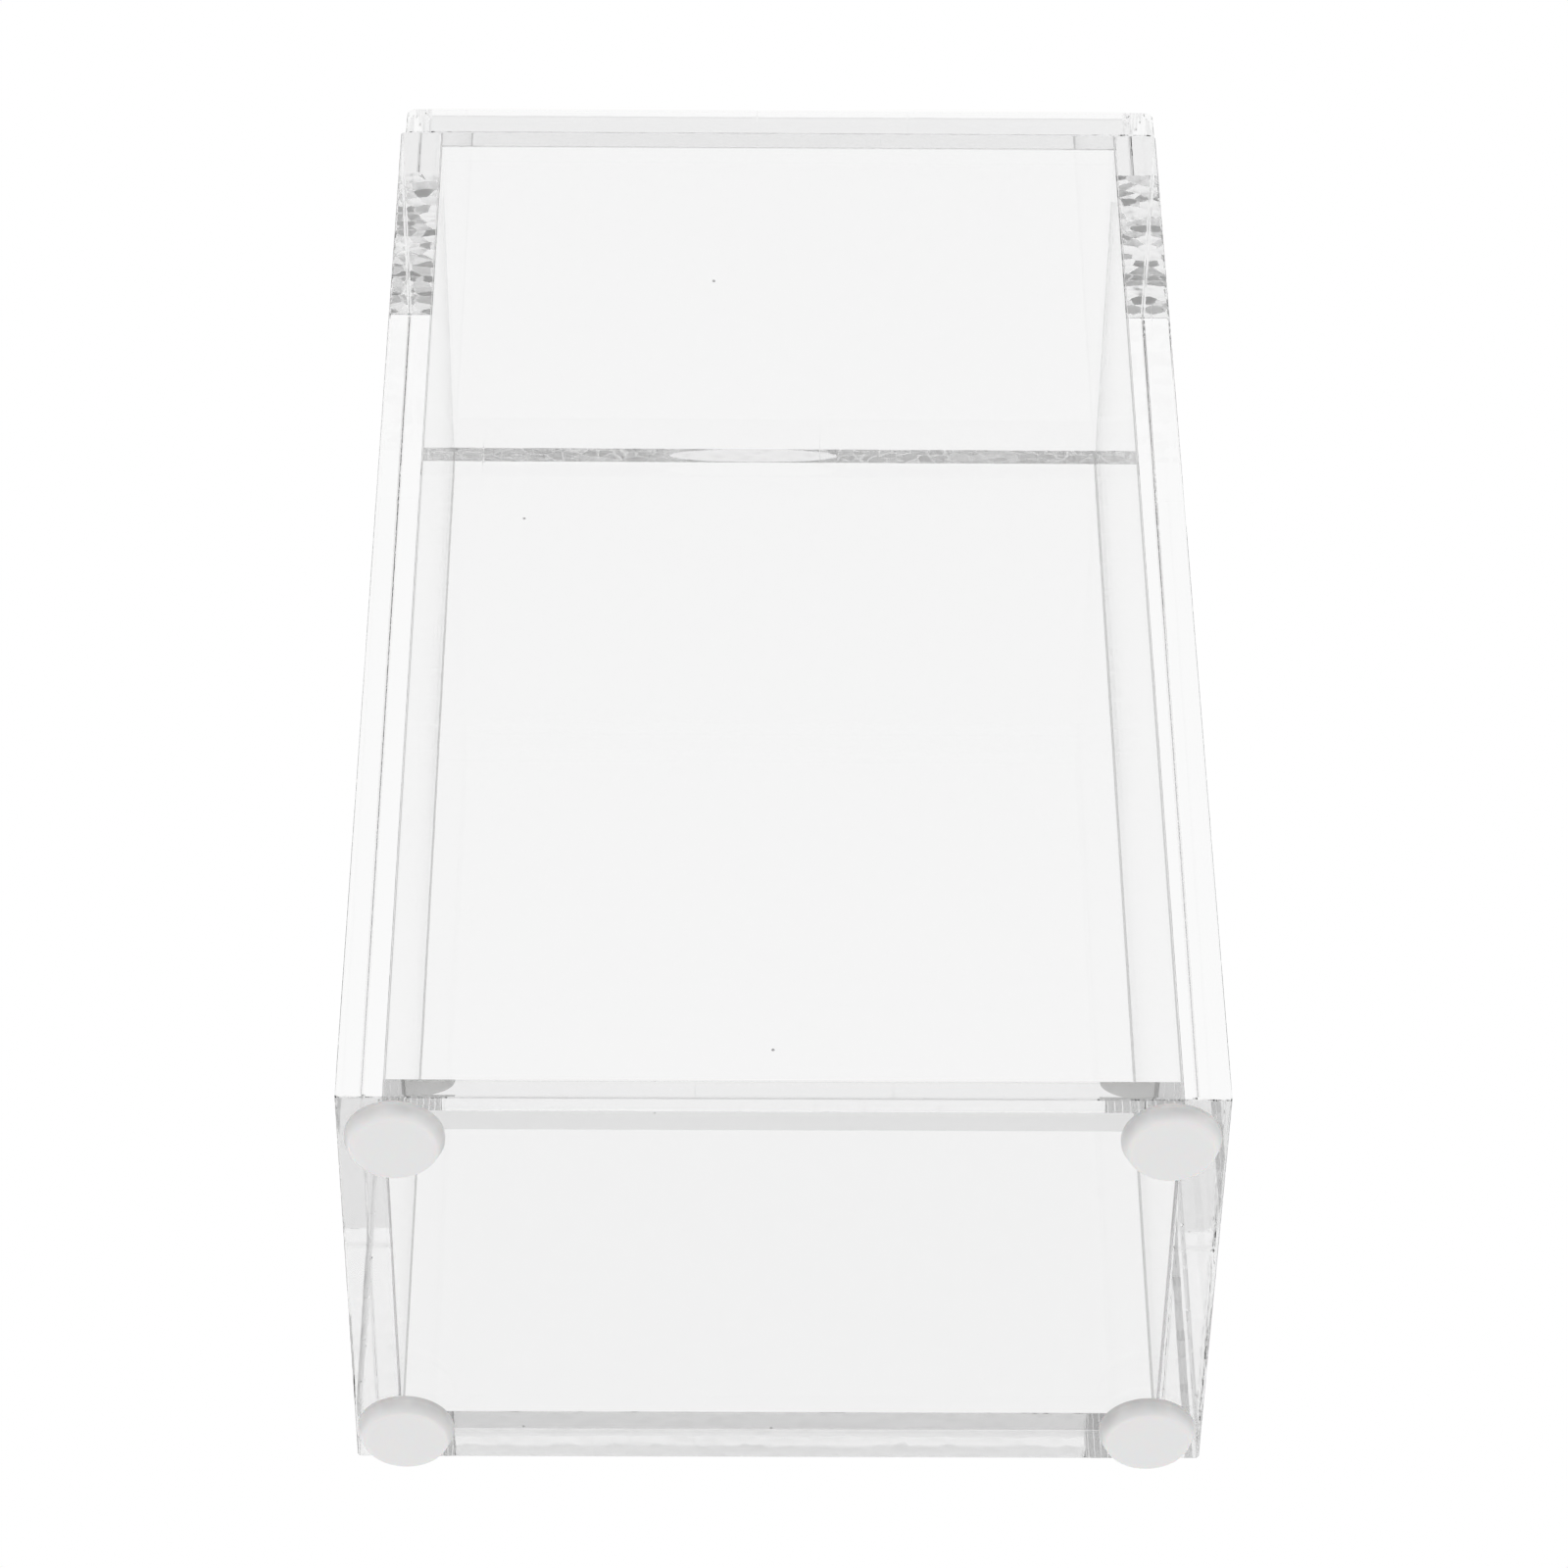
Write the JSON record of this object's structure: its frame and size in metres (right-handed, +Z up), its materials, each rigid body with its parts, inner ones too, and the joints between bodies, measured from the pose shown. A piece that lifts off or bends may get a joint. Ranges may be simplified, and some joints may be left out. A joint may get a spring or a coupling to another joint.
{
  "type": "acrylic storage box with lid",
  "caption": "Tall clear acrylic storage box: cemented sheet walls and base, loose flat lid resting on the rim, low silicone bumper feet at the base corners.",
  "frame": {"origin": "on the ground, under the middle of the box's outline, in the plane that the bumper feet stand on", "axes": "+Z up towards the lid, +X towards the right side wall seen from the front, +Y from the front wall to the back wall"},
  "size_m": [0.09, 0.057, 0.1629],
  "materials": {
    "clear_acrylic": "polished",
    "milky_silicone": "satin",
    "adhesive_film": "gloss"
  },
  "bodies": {
    "box": {"front_panel": "clear_acrylic", "back_panel": "clear_acrylic", "left_panel": "clear_acrylic", "right_panel": "clear_acrylic", "base_panel": "clear_acrylic", "foot_front_left": "milky_silicone", "foot_front_right": "milky_silicone", "foot_back_left": "milky_silicone", "foot_back_right": "milky_silicone", "film_front_left": "adhesive_film", "film_front_right": "adhesive_film", "film_back_left": "adhesive_film", "film_back_right": "adhesive_film"},
    "lid": {"lid": "clear_acrylic"}
  },
  "joints": [
    {"name": "lid_lift", "type": "slide", "parent": "box", "child": "lid", "axis": [0, 0, 1], "range_m": [0, 0.08]}
  ]
}
